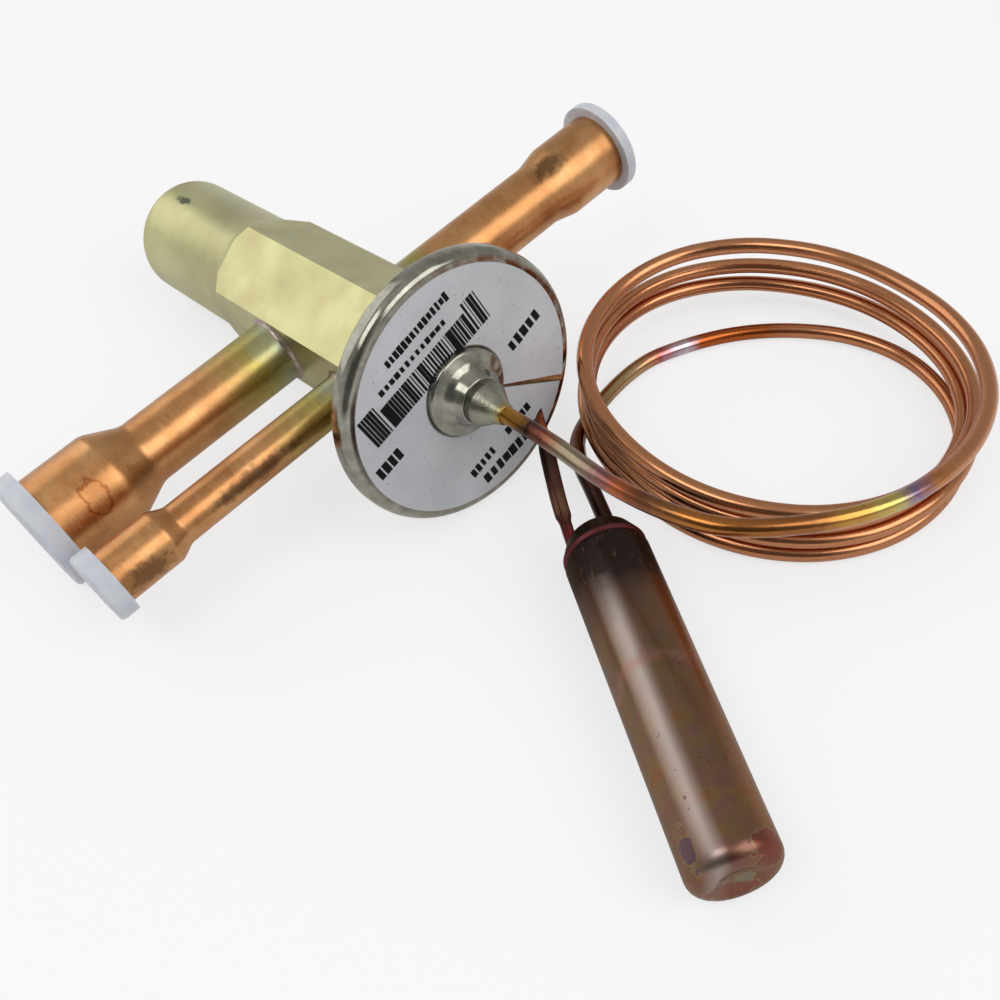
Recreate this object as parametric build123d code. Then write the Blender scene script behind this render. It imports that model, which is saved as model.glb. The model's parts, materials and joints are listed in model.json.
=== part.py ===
"""Thermostatic expansion valve with a capped copper stub on each port, a diaphragm head,
and a capillary that runs through a loose coil to its sensing bulb.

Valve frame: origin at the centre of the head's rim, +Y along the stem to the tail,
+X towards the inlet, -X towards the outlet and the equaliser, +Z across both.
The last step tips the finished valve so that it lies on a bench: on the rim of its head,
the edge of its tail and the flange of the outlet cap.
"""
from build123d import *
import os
from math import asin, atan, atan2, cos, degrees, exp, hypot, pi, radians, sin, sqrt, tan

# --- diaphragm head -------------------------------------------------------------------
HEAD_R = 24.0            # outside of the welded rim
RIM_HALF = 0.7           # half the flat edge of the rim
RIM_WIDTH = 1.2          # from the rim's outside to the cover's flat front
LABEL_FACE = 2.4         # front of the cover, ahead of the rim's middle
LABEL_MARGIN = 0.9       # bare steel between the label and the edge of the front
LABEL_THICK = 0.15
LABEL_SLIT = 2.2         # bare strip where the ends of the label meet
LABEL_SLIT_ANGLE = -32.5
SHEET = 1.0              # pressed steel of cover and base
HAT_R = 7.9
HAT_TOP = 7.0            # flat top of the hat, ahead of the rim's middle
BOSS_R = 4.1
BOSS_SHOULDER = 1.8      # straight side of the boss, before its nose
BOSS_END = 12.6
BOSS_TIP_R = 2.1
DIAPHRAGM_MARGIN = 1.4   # weld between the diaphragm's edge and the rim's outside
DIAPHRAGM_THICK = 0.25
CLAMP_WIDTH = 4.0        # outer band where cover and base hold the diaphragm
WAVE_HEIGHT = 0.3        # corrugations pressed in the diaphragm
WAVE_WIDTH = 6.5
WAVE_COUNT = 3
WAVE_GAP = 0.5           # flat diaphragm on each side of the corrugations
BASE_DEPTH = 4.0         # back of the base cup, where the hexagon starts
CUP_SLOPE = 2.5          # how far the base cup narrows to its flat

# --- body -----------------------------------------------------------------------------
HEX_FLATS = 23.35
HEX_END = 56.0           # the hexagon runs out here into the turned tail
TAIL_R = 11.6
TAIL_END = 90.2
TAIL_ROUND = 2.2
SPIGOT_R = 8.0           # collar of the body, inside the base cup's hole
UPPER_BORE_R = 5.0       # equaliser chamber under the diaphragm
BUSH_R = 4.0
BUSH_START = 19.6
BUSH_END = 25.0
SEAT_FACE = 31.5         # web of the body that the seat is pressed against
SEAT_R = 5.0
SEAT_LENGTH = 3.0
ORIFICE_R = 1.75
SPRING_BORE_R = 6.0
PLUG_R = 8.0
PLUG_START = 78.0
PLUG_LENGTH = 9.0

# --- moving train: thrust plate, push rod, cone, carrier --------------------------------
TRAVEL = 0.8
ROD_R = 1.2
ROD_TIP_R = 0.95
ROD_FIT = 0.05           # radial clearance of the rod in its bush
PLATE_THICK = 1.8
PLATE_GAP = 0.35         # under the diaphragm at rest
CONE_R = 3.0
CONE_LENGTH = 3.6
SEAT_GAP = 0.1
CARRIER_START = 44.5
CARRIER_LENGTH = 5.0
CARRIER_FIT = 0.05
RUN_GAP = 0.3

# --- superheat spring and its setting screw -------------------------------------------
WIRE_R = 0.7
SPRING_R = 4.6
SPRING_TURNS = 6.5
SCREW_START = 66.0
SCREW_LENGTH = 6.0
SOCKET_FLATS = 5.0       # hexagon sockets of the screw and of the tail plug

# --- connections: station on the stem, tube radius, bell radius, bell start, end ---------
OUTLET_STATION = 38.8
OUTLET_TUBE_R = 6.0
OUTLET_BELL_R = 8.8
OUTLET_NECK = 43.0
OUTLET_END = 61.9
EQUAL_STATION = 17.2
EQUAL_TUBE_R = 3.7
EQUAL_BELL_R = 4.95
EQUAL_NECK = 48.3
EQUAL_END = 61.4
INLET_STATION = 27.2
INLET_TUBE_R = 6.0
INLET_BELL_R = 7.1
INLET_NECK = 44.4
INLET_END = 61.1
TUBE_WALL = 0.8
SEAT_DEPTH = 3.0         # how deep a tube sits in the body
BRAZE = 0.75             # leg of the braze fillet round each joint
OUTLET_PORT_R = 4.2      # holes from the tubes to the stem's bore
EQUAL_PORT_R = 1.5
INLET_PORT_R = 3.0

# --- push-in caps: flange radius, flange thickness -------------------------------------
OUTLET_CAP_R = 11.05
OUTLET_CAP_THICK = 3.8
EQUAL_CAP_R = 6.45
EQUAL_CAP_THICK = 3.4
INLET_CAP_R = 8.9
INLET_CAP_THICK = 2.3
CAP_PLUG = 5.0
CAP_FIT = 0.08
CAP_WALL = 1.1
CAP_WEB = 1.4            # floor of the cap across the socket
STRAINER_LENGTH = 18.5
STRAINER_COLLAR = 2.0
STRAINER_SHEET = 0.5
STRAINER_TAPER = 0.6
STRAINER_FIT = 0.05

# --- capillary, coil and bulb ----------------------------------------------------------
CAPILLARY_R = 1.45
COIL_CENTRE = (47.8, -71.0)
COIL_OUTER = 37.2
COIL_INNER = 26.8
COIL_LOW = 20.9          # top of the coil on its low side
COIL_HIGH = 30.5         # and on its high side, where the lead comes in
COIL_HIGH_SIDE = 213.7   # degrees from +X
BULB_R = 7.3
BULB_START = (-25.6, -127.2)   # middle of the closed end, on the bench
BULB_HEADING = 27.3            # degrees from +Y towards +X
BULB_LENGTH = 60.0             # closed end to the neck seam
BULB_WALL = 0.9
NECK_LENGTH = 3.6
NECK_R = 4.9
CAPILLARY_OFFSET = 2.4         # beside the bulb's axis
CHARGE_OFFSET = -3.0
CHARGE_R = 1.35


def turned(outline, rounds=(), axis=Axis.Y):
    """Revolve an outline; rounds lists (corner number, radius)."""
    face = make_face(Polyline(*outline, close=True))
    for corner, radius in rounds:
        spot = Vector(*outline[corner])
        vertex = min(face.vertices(), key=lambda v: (Vector(v.X, v.Y, v.Z) - spot).length)
        face = fillet(vertex, radius)
    return revolve(face, axis=axis)


def disc(radius, start, end):
    return turned([(0, start), (radius, start), (radius, end), (0, end)])


def ring(inner, outer, start, end):
    return turned([(inner, start), (outer, start), (outer, end), (inner, end)])


def hexagon(flats, start, end):
    """A hexagonal bar along the stem with one flat facing -X and one facing +X."""
    profile = Plane.XZ.offset(-start) * RegularPolygon(flats / sqrt(3), 6, rotation=30)
    return extrude(profile, -(end - start))


# --- head -------------------------------------------------------------------------------
CLAMP_R = HEAD_R - CLAMP_WIDTH
WAVE_OUTER = CLAMP_R - WAVE_GAP
WAVE_INNER = WAVE_OUTER - WAVE_WIDTH
PLATE_R = WAVE_INNER - WAVE_GAP
DIAPHRAGM_R = HEAD_R - DIAPHRAGM_MARGIN
FRONT_R = HEAD_R - RIM_WIDTH
LABEL_R = FRONT_R - LABEL_MARGIN


def make_head_cover():
    outline = [
        (HEAD_R, -RIM_HALF), (HEAD_R, 0), (CLAMP_R, 0), (CLAMP_R - SHEET, -LABEL_FACE + SHEET),
        (HAT_R - 0.6 * SHEET, -LABEL_FACE + SHEET), (BOSS_R + 0.5, -HAT_TOP + SHEET),
        (1.0, -HAT_TOP + SHEET), (1.0, -HAT_TOP), (BOSS_R + 1.2, -HAT_TOP), (HAT_R, -LABEL_FACE - 1.2),
        (HAT_R + 0.3, -LABEL_FACE), (FRONT_R, -LABEL_FACE),
    ]
    rounds = [(0, 0.5), (11, 1.0), (10, 0.3), (9, 1.6), (8, 1.0)]
    return turned(outline, rounds)


def make_boss():
    outline = [
        (CAPILLARY_R, -HAT_TOP), (BOSS_R, -HAT_TOP), (BOSS_R, -HAT_TOP - BOSS_SHOULDER),
        (BOSS_TIP_R, -BOSS_END), (CAPILLARY_R, -BOSS_END),
    ]
    return turned(outline, [(2, 1.8)])


def make_label():
    label = ring(HAT_R + 0.6, LABEL_R, -LABEL_FACE - LABEL_THICK, -LABEL_FACE)
    slit = Location((0, 0, 0), (0, -LABEL_SLIT_ANGLE, 0)) * Pos(LABEL_R / 2 + HAT_R / 2, -LABEL_FACE, 0)
    return label - slit * Box(LABEL_R, 1.0, LABEL_SLIT)


def make_diaphragm():
    """Thin disc with rings pressed in it, drawn as one wave and thickened."""
    half = DIAPHRAGM_THICK / 2
    steps = 8 * WAVE_COUNT
    wave = []
    for step in range(steps + 1):
        height = WAVE_HEIGHT / 2 * (1 - cos(2 * pi * WAVE_COUNT * step / steps))
        wave.append((WAVE_INNER + WAVE_WIDTH * step / steps, height))
    front = [(0, -half)] + [(r, y - half) for r, y in wave] + [(DIAPHRAGM_R, -half)]
    back = [(DIAPHRAGM_R, half)] + [(r, y + half) for r, y in reversed(wave)] + [(0, half)]
    return turned(front + back)


def make_head_base():
    rim = DIAPHRAGM_THICK / 2
    cup_r = CLAMP_R - CUP_SLOPE
    outline = [
        (HEAD_R, 0.0), (HEAD_R, RIM_HALF + 0.4), (cup_r + 1.6 * SHEET, BASE_DEPTH), (SPIGOT_R, BASE_DEPTH),
        (SPIGOT_R, BASE_DEPTH - SHEET), (cup_r, BASE_DEPTH - SHEET), (CLAMP_R, rim),
        (DIAPHRAGM_R + 0.1, rim), (DIAPHRAGM_R + 0.1, 0.0),
    ]
    return turned(outline, [(1, 0.5), (2, 1.5)])


def make_rim_groove_cutter():
    """The cover gives way to the diaphragm's edge."""
    return disc(DIAPHRAGM_R + 0.1, -DIAPHRAGM_THICK / 2, DIAPHRAGM_THICK)


# --- body -------------------------------------------------------------------------------
def port(station, side, radius, depth_from):
    """A radial hole from the facet on one side inwards to the stem's bore."""
    flat = HEX_FLATS / 2
    hole = Cylinder(radius, flat - depth_from + 1.0, rotation=(0, 90, 0))
    return Pos(side * (flat + 1.0 + depth_from) / 2, station, 0) * hole


def make_body():
    flat = HEX_FLATS / 2
    corner = HEX_FLATS / sqrt(3) + 0.1
    run_out = 2.0 * (corner - TAIL_R)
    head_side = [(0, BASE_DEPTH), (flat - 0.3, BASE_DEPTH)]
    tail_side = [(TAIL_R, HEX_END), (TAIL_R, HEX_END + 1), (0, HEX_END + 1), (0, BASE_DEPTH)]
    outline = Polyline(*head_side)
    outline += SagittaArc(head_side[-1], (corner, BASE_DEPTH + 1.3), 0.15)
    outline += Line((corner, BASE_DEPTH + 1.3), (corner, HEX_END - run_out))
    outline += SagittaArc((corner, HEX_END - run_out), tail_side[0], 0.2)
    outline += Polyline(*tail_side)
    envelope = revolve(make_face(outline), axis=Axis.Y)
    bar = hexagon(HEX_FLATS, BASE_DEPTH, HEX_END + 0.5) & envelope
    tail = turned([(0, HEX_END - 2), (TAIL_R, HEX_END - 2), (TAIL_R, TAIL_END), (0, TAIL_END)], [(2, TAIL_ROUND)])
    body = bar + tail + disc(SPIGOT_R, BASE_DEPTH - SHEET, BASE_DEPTH + 1)
    stem = turned([
        (0, 0), (UPPER_BORE_R, 0), (UPPER_BORE_R, BUSH_START), (BUSH_R, BUSH_START), (BUSH_R, SEAT_FACE - 1.5),
        (ORIFICE_R + 0.6, SEAT_FACE - 1.5), (ORIFICE_R + 0.6, SEAT_FACE), (SEAT_R, SEAT_FACE),
        (SEAT_R, SEAT_FACE + SEAT_LENGTH), (SPRING_BORE_R, SEAT_FACE + SEAT_LENGTH),
        (SPRING_BORE_R, PLUG_START), (PLUG_R, PLUG_START), (PLUG_R, TAIL_END + 1), (0, TAIL_END + 1),
    ])
    body -= stem
    for station, side, tube_r, port_r in (
        (OUTLET_STATION, -1, OUTLET_TUBE_R, OUTLET_PORT_R),
        (EQUAL_STATION, -1, EQUAL_TUBE_R, EQUAL_PORT_R),
        (INLET_STATION, 1, INLET_TUBE_R, INLET_PORT_R),
    ):
        body -= port(station, side, tube_r, flat - SEAT_DEPTH)
        body -= port(station, side, port_r, 0)
    return body


def along(side, station, points):
    """Outline points (distance from the stem, radius) of a piece on a connection's axis."""
    return [(side * x, station + r) for x, r in points]


def on_connection(side, station, points, rounds=()):
    axis = Axis((0, station, 0), (1, 0, 0))
    return turned(along(side, station, points), rounds, axis)


def make_tube(side, station, tube_r, bell_r, neck, end):
    """Copper stub with its end expanded into a solder socket, shoulders rounded."""
    start = HEX_FLATS / 2 - SEAT_DEPTH
    shoulder = 2.2 * (bell_r - tube_r)
    outline = [
        (start, tube_r - TUBE_WALL), (start, tube_r), (neck, tube_r), (neck + shoulder, bell_r), (end, bell_r),
        (end, bell_r - TUBE_WALL), (neck + shoulder, bell_r - TUBE_WALL), (neck, tube_r - TUBE_WALL),
    ]
    bend = 1.6 * (bell_r - tube_r)
    rounds = [(2, bend), (3, bend), (6, bend - 0.6 * TUBE_WALL), (7, bend + 0.6 * TUBE_WALL)]
    return on_connection(side, station, outline, rounds)


def make_braze(side, station, tube_r):
    flat = HEX_FLATS / 2
    outline = [(flat, tube_r), (flat, tube_r + BRAZE), (flat + BRAZE, tube_r)]
    return on_connection(side, station, outline)


def make_cap(side, station, bell_r, end, flange_r, thick):
    """Moulded push-in cap: a hollow plug in the socket and a flange over the end."""
    plug_r = bell_r - TUBE_WALL - CAP_FIT
    outline = [
        (end - CAP_PLUG, plug_r - CAP_WALL), (end - CAP_PLUG, plug_r), (end, plug_r), (end, flange_r),
        (end + thick, flange_r), (end + thick, 0), (end + thick - CAP_WEB, 0),
        (end + thick - CAP_WEB, plug_r - CAP_WALL),
    ]
    return on_connection(side, station, outline, [(4, 0.22 * thick)])


def make_strainer():
    """Gauze thimble in the inlet tube, closed towards the body."""
    outer = INLET_TUBE_R - TUBE_WALL - STRAINER_FIT
    mouth = INLET_NECK - STRAINER_COLLAR
    step = mouth - STRAINER_COLLAR
    floor = mouth - STRAINER_LENGTH
    narrow = outer - 2 * STRAINER_SHEET - STRAINER_TAPER
    outline = [
        (mouth, outer), (mouth, outer - STRAINER_SHEET), (step, outer - 3 * STRAINER_SHEET),
        (floor + STRAINER_SHEET, narrow - STRAINER_SHEET), (floor + STRAINER_SHEET, 0), (floor, 0),
        (floor, narrow), (step - STRAINER_SHEET, outer - 2 * STRAINER_SHEET), (step - STRAINER_SHEET, outer),
    ]
    return on_connection(1, INLET_STATION, outline)


# --- inside the body --------------------------------------------------------------------
def make_bush():
    groove = (BUSH_START + BUSH_END) / 2
    outline = [
        (ROD_R + ROD_FIT, BUSH_START), (BUSH_R, BUSH_START), (BUSH_R, BUSH_END), (ROD_R + ROD_FIT, BUSH_END),
        (ROD_R + ROD_FIT, groove + 0.7), (2.5, groove + 0.7), (2.5, groove - 0.7), (ROD_R + ROD_FIT, groove - 0.7),
    ]
    return turned(outline)


def make_o_ring():
    groove = (BUSH_START + BUSH_END) / 2
    middle = (ROD_R + ROD_FIT + 2.5) / 2
    section = Pos(middle, groove, 0) * Circle((2.5 - ROD_R - ROD_FIT) / 2 - 0.03)
    return revolve(section, axis=Axis.Y)


def make_seat():
    return ring(ORIFICE_R, SEAT_R, SEAT_FACE, SEAT_FACE + SEAT_LENGTH)


def make_thrust_plate():
    start = DIAPHRAGM_THICK / 2 + WAVE_HEIGHT + PLATE_GAP - 0.35
    middle = start + PLATE_THICK
    hub = middle + 0.6
    outline = [
        (0, start), (PLATE_R, start), (PLATE_R, start + 0.7 * PLATE_THICK),
        (3.2, middle), (3.2, hub), (0, hub),
    ]
    return turned(outline)


def make_push_rod():
    top = DIAPHRAGM_THICK / 2 + WAVE_HEIGHT + PLATE_GAP - 0.35 + PLATE_THICK + 0.6
    tip = SEAT_FACE + SEAT_LENGTH + SEAT_GAP
    step = BUSH_END + 2.0
    outline = [(0, top), (ROD_R, top), (ROD_R, step), (ROD_TIP_R, step + 0.5), (ROD_TIP_R, tip - 0.8), (0, tip - 0.8)]
    return turned(outline)


def make_cone():
    seat = SEAT_FACE + SEAT_LENGTH + SEAT_GAP
    outline = [
        (0, seat - 0.8), (ORIFICE_R - 0.75, seat - 0.8), (ORIFICE_R, seat), (CONE_R, seat + CONE_R - ORIFICE_R),
        (CONE_R, seat + CONE_LENGTH), (1.8, seat + CONE_LENGTH), (1.8, CARRIER_START + 2.0), (0, CARRIER_START + 2.0),
    ]
    return turned(outline)


def make_carrier():
    outer = SPRING_BORE_R - CARRIER_FIT
    end = CARRIER_START + CARRIER_LENGTH
    outline = [
        (1.8, CARRIER_START), (outer, CARRIER_START), (outer, end), (SPRING_R - WIRE_R - RUN_GAP, end),
        (SPRING_R - WIRE_R - RUN_GAP, end + 2.5), (0, end + 2.5), (0, CARRIER_START + 2.0), (1.8, CARRIER_START + 2.0),
    ]
    body = turned(outline)
    slots = Cylinder(1.1, CARRIER_LENGTH + 1, rotation=(90, 0, 0))
    for quarter in range(4):
        around = Location((0, 0, 0), (0, 45 + 90 * quarter, 0))
        body -= around * Pos(outer, (CARRIER_START + end) / 2, 0) * slots
    return body


def make_spring():
    start = CARRIER_START + CARRIER_LENGTH + WIRE_R + 0.05
    end = SCREW_START - WIRE_R - 0.05
    coil = Helix((end - start) / SPRING_TURNS, end - start, SPRING_R, center=(0, start, 0), direction=(0, 1, 0))
    section = Plane(coil @ 0, z_dir=coil % 0) * Circle(WIRE_R)
    return sweep(section, path=coil, is_frenet=True)


def hex_socket(start, depth):
    return hexagon(SOCKET_FLATS, start, start + depth)


def make_setting_screw():
    screw = disc(SPRING_BORE_R, SCREW_START, SCREW_START + SCREW_LENGTH)
    flow = disc(1.2, SCREW_START, SCREW_START + SCREW_LENGTH)
    return screw - flow - hex_socket(SCREW_START + SCREW_LENGTH - 3, 3)


def make_tail_plug():
    plug = turned([
        (0, PLUG_START), (PLUG_R, PLUG_START), (PLUG_R, PLUG_START + PLUG_LENGTH), (0, PLUG_START + PLUG_LENGTH),
    ], [(2, 0.6)])
    return plug - hex_socket(PLUG_START + PLUG_LENGTH - 4, 4)


# --- placing on the bench ---------------------------------------------------------------
def resting_place():
    """Pitch and roll that bring the rim, the tail and the outlet cap down on one plane."""
    pitch = -atan((HEAD_R - TAIL_R) / (TAIL_END - TAIL_ROUND - RIM_HALF))
    reach = OUTLET_END + 0.78 * OUTLET_CAP_THICK
    height = HEAD_R * cos(pitch) + OUTLET_STATION * sin(pitch)
    lean = asin(height / hypot(reach, OUTLET_CAP_R)) - atan2(OUTLET_CAP_R, reach)
    roll = -asin(sin(lean) / cos(pitch))
    return Location((0, 0, 0), (degrees(pitch), 0, 0)) * Location((0, 0, 0), (0, degrees(roll), 0))


# --- capillary, coil and bulb -----------------------------------------------------------
def wire_path(points):
    """Straight runs joined by the largest smooth arcs; prints the radii."""
    radii = []
    for before, at, after in zip(points, points[1:], points[2:]):
        arriving = Vector(*at) - Vector(*before)
        leaving = Vector(*after) - Vector(*at)
        turn = radians(arriving.get_angle(leaving))
        radii.append(0.45 * min(arriving.length, leaving.length) / tan(turn / 2))
    print("arc radii", [round(r, 1) for r in radii])
    return FilletPolyline(*points, radius=radii)


def make_tube_along(points, radius):
    path = wire_path(points)
    section = Plane(path @ 0, z_dir=path % 0) * Circle(radius)
    tube = sweep(section, path=path)
    print("tube volume", round(tube.volume, 1), "section x length", round(pi * radius ** 2 * path.length, 1))
    return tube


def make_coil():
    """The space that the loose turns fill: a ring with a slanted top."""
    across = 2 * COIL_OUTER
    band = Pos(*COIL_CENTRE) * (Circle(COIL_OUTER) - Circle(COIL_INNER))
    block = extrude(band, COIL_HIGH + 2)
    slope = degrees(atan((COIL_HIGH - COIL_LOW) / across))
    middle = Vector(*COIL_CENTRE, (COIL_HIGH + COIL_LOW) / 2)
    top = Plane(Pos(middle.X, middle.Y, middle.Z) * Rot(0, 0, COIL_HIGH_SIDE - 90) * Rot(slope, 0, 0))
    return split(block, top, keep=Keep.BOTTOM)


def bulb_plane(distance):
    """Plane across the bulb at a distance from its closed end, z along the bulb."""
    heading = radians(BULB_HEADING)
    direction = Vector(sin(heading), cos(heading), 0)
    start = Vector(*BULB_START, BULB_R)
    return Plane(start + direction * distance, x_dir=direction.cross(Vector(0, 0, 1)), z_dir=direction)


def make_bulb():
    """Drawn copper shell with a rounded, faintly dimpled end."""
    inner = BULB_R - BULB_WALL
    outline = [
        (0, 0.5), (3.0, 0), (BULB_R, 0), (BULB_R, BULB_LENGTH), (inner, BULB_LENGTH),
        (inner, BULB_WALL + 0.5), (0, BULB_WALL + 0.5),
    ]
    return bulb_plane(0).location * Rot(90, 0, 0) * turned(outline, [(2, 2.6), (5, 1.8)])


def make_bulb_neck():
    inner = BULB_R - BULB_WALL
    outline = [
        (0, BULB_LENGTH - 3), (inner, BULB_LENGTH - 3), (inner, BULB_LENGTH), (BULB_R, BULB_LENGTH),
        (BULB_R, BULB_LENGTH + 0.8), (NECK_R, BULB_LENGTH + NECK_LENGTH), (0, BULB_LENGTH + NECK_LENGTH),
    ]
    neck = Rot(90, 0, 0) * turned(outline, [(4, 1.5), (5, 2.0)])
    for offset, radius in ((CAPILLARY_OFFSET, CAPILLARY_R), (CHARGE_OFFSET, CHARGE_R)):
        neck -= Pos(offset, 0, BULB_LENGTH + NECK_LENGTH) * Cylinder(radius, 4.0)
    return bulb_plane(0).location * neck


def neck_exit(offset, out=0.0):
    """Where a tube leaves the neck, and a point further out on its axis."""
    plane = bulb_plane(BULB_LENGTH + NECK_LENGTH + out)
    return plane.from_local_coords(Vector(offset, 0, 0))


def export(name, solid):
    solid.label = name
    export_step(solid, "parts/" + name + ".step")


def build():
    cover_clearance = make_rim_groove_cutter()
    valve = {
        "valve_body": make_body(),
        "head_cover": make_head_cover() - cover_clearance,
        "head_base": make_head_base(),
        "capillary_boss": make_boss(),
        "head_label": make_label(),
        "diaphragm": make_diaphragm(),
        "thrust_plate": make_thrust_plate(),
        "push_rod": make_push_rod(),
        "guide_bush": make_bush(),
        "rod_o_ring": make_o_ring(),
        "orifice_seat": make_seat(),
        "valve_cone": make_cone(),
        "cone_carrier": make_carrier(),
        "superheat_spring": make_spring(),
        "setting_screw": make_setting_screw(),
        "tail_plug": make_tail_plug(),
        "inlet_strainer": make_strainer(),
        "outlet_tube": make_tube(-1, OUTLET_STATION, OUTLET_TUBE_R, OUTLET_BELL_R, OUTLET_NECK, OUTLET_END),
        "equaliser_tube": make_tube(-1, EQUAL_STATION, EQUAL_TUBE_R, EQUAL_BELL_R, EQUAL_NECK, EQUAL_END),
        "inlet_tube": make_tube(1, INLET_STATION, INLET_TUBE_R, INLET_BELL_R, INLET_NECK, INLET_END),
        "outlet_braze": make_braze(-1, OUTLET_STATION, OUTLET_TUBE_R),
        "equaliser_braze": make_braze(-1, EQUAL_STATION, EQUAL_TUBE_R),
        "inlet_braze": make_braze(1, INLET_STATION, INLET_TUBE_R),
        "outlet_cap": make_cap(-1, OUTLET_STATION, OUTLET_BELL_R, OUTLET_END, OUTLET_CAP_R, OUTLET_CAP_THICK),
        "equaliser_cap": make_cap(-1, EQUAL_STATION, EQUAL_BELL_R, EQUAL_END, EQUAL_CAP_R, EQUAL_CAP_THICK),
        "inlet_cap": make_cap(1, INLET_STATION, INLET_BELL_R, INLET_END, INLET_CAP_R, INLET_CAP_THICK),
    }
    tilt = resting_place()
    low = min((tilt * piece).bounding_box().min.Z for piece in valve.values())
    boxes = [(tilt * piece).bounding_box() for piece in valve.values()]
    middle_x = (min(b.min.X for b in boxes) + max(b.max.X for b in boxes)) / 2
    middle_y = (min(b.min.Y for b in boxes) + max(b.max.Y for b in boxes)) / 2
    place = Pos(-middle_x, -middle_y, -low) * tilt
    print("head foot", -middle_x, -middle_y, "head height", -low, "place", place)
    pieces = {name: place * piece for name, piece in valve.items()}

    lead = [(place * Pos(0, -BOSS_END + out, 0)).position for out in (1.5, -11.0)]
    lead += [Vector(*p) for p in LEAD_ROUTE]
    tail = [Vector(*p) for p in TAIL_ROUTE]
    tail += [neck_exit(CAPILLARY_OFFSET, out) for out in (10.5, -1.5)]
    pieces["capillary_lead"] = make_tube_along(lead, CAPILLARY_R)
    pieces["capillary_coil"] = make_coil()
    pieces["capillary_tail"] = make_tube_along(tail, CAPILLARY_R)
    pieces["bulb_shell"] = make_bulb()
    pieces["bulb_neck"] = make_bulb_neck()
    charge = [neck_exit(CHARGE_OFFSET, out) for out in (-1.5, 3.0)]
    charge += [Vector(*p) for p in CHARGE_ROUTE]
    for points in (lead, tail, charge):
        print("route", [tuple(round(c, 2) for c in p) for p in points])
    pieces["charge_tube"] = make_tube_along(charge, CHARGE_R)

    os.makedirs("parts", exist_ok=True)
    for name, piece in pieces.items():
        export(name, piece)


# Routes chosen by hand, in the bench frame.
LEAD_ROUTE = [
    (0.3, -77.0, 29.2), (2.0, -91.0, 30.2), (10.5, -102.5, 29.6),
    (23.5, -109.5, 28.4), (39.5, -110.5, 26.8), (54.5, -105.5, 25.2),
]
TAIL_ROUTE = [(43.5, -41.0, 1.6), (33.0, -40.7, 1.6), (22.5, -45.0, 2.2), (15.3, -53.7, 5.0)]
CHARGE_ROUTE = [(6.4, -59.5, 10.0), (14.2, -47.1, 15.0)]

build()
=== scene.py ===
"""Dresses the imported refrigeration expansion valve: finishes, foil label, capillary, bulb and studio.

Sizes are millimetres in the frame of the valve or of the bulb, unless a comment says otherwise.
"""
import json
import math
import random

import bmesh
import bpy
import numpy as np
from mathutils import Matrix, Vector


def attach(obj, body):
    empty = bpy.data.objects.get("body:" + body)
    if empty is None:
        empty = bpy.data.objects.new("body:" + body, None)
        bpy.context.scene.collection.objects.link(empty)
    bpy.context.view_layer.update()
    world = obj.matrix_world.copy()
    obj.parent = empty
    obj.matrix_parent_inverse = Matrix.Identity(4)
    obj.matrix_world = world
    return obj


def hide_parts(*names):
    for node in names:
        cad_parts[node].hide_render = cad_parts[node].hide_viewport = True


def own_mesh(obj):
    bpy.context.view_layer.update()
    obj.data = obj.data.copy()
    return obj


bl_info = {
    "name": "Refrigeration expansion valve",
    "version": (1, 0, 0),
    "blender": (4, 5, 0),
    "location": "3D View > Sidebar > Valve",
    "description": "Finishes, label, capillary and bulb of a refrigeration expansion valve",
    "category": "Object",
}

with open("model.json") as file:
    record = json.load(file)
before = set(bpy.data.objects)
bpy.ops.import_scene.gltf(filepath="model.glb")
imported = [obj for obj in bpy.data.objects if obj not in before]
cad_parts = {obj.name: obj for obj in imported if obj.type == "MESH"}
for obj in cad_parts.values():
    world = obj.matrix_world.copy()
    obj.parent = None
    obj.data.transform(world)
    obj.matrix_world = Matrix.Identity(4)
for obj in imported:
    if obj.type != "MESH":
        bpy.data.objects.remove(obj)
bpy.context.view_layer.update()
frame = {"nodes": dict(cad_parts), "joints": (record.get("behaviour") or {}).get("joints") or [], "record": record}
MM = 0.001
MOUNTS = {mount["name"]: mount for mount in frame["record"]["mounts"]}
JOINTS = {joint["name"]: joint for joint in frame["joints"]}

# ---------------------------------------------------------------- sizes that several pieces share
HEX_FLATS = 23.35
INLET_REACH = 61.1                  # distance of the inlet's mouth from the stem
STUBS = {                           # station on the stem, side of it, radius of the tube
    "outlet": (38.8, -1, 6.0),
    "equaliser": (17.2, -1, 3.7),
    "inlet": (27.2, 1, 6.0),
}
BULB_R = 7.3
BULB_LONG = 60.0                    # closed end of the bulb to its neck seam
BULB_FOOT = (-26.0, -126.8)         # middle of the closed end on the bench
BULB_HEADING = math.radians(27.3)


def part_frame(origin, x_axis, y_axis):
    """Matrix of a part's own frame, in metres, from its origin and two of its axes."""
    x_axis, y_axis = Vector(x_axis).normalized(), Vector(y_axis).normalized()
    z_axis = x_axis.cross(y_axis)
    turn = Matrix((x_axis, y_axis, z_axis)).transposed().to_4x4()
    return Matrix.Translation(origin) @ turn


def valve_frame():
    """+Y along the stem to the tail, +X to the inlet, origin in the middle of the head's rim."""
    across = Vector(MOUNTS["inlet_socket"]["axis"])
    along = Vector(JOINTS["stem_travel"]["axis"])
    mouth = Vector(MOUNTS["inlet_socket"]["pos_m"])
    return part_frame(mouth - MM * (INLET_REACH * across + STUBS["inlet"][0] * along), across, along)


VALVE = valve_frame()
BULB = part_frame(
    MM * Vector((*BULB_FOOT, BULB_R)),
    (math.cos(BULB_HEADING), -math.sin(BULB_HEADING), 0),
    (math.sin(BULB_HEADING), math.cos(BULB_HEADING), 0),
)

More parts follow.
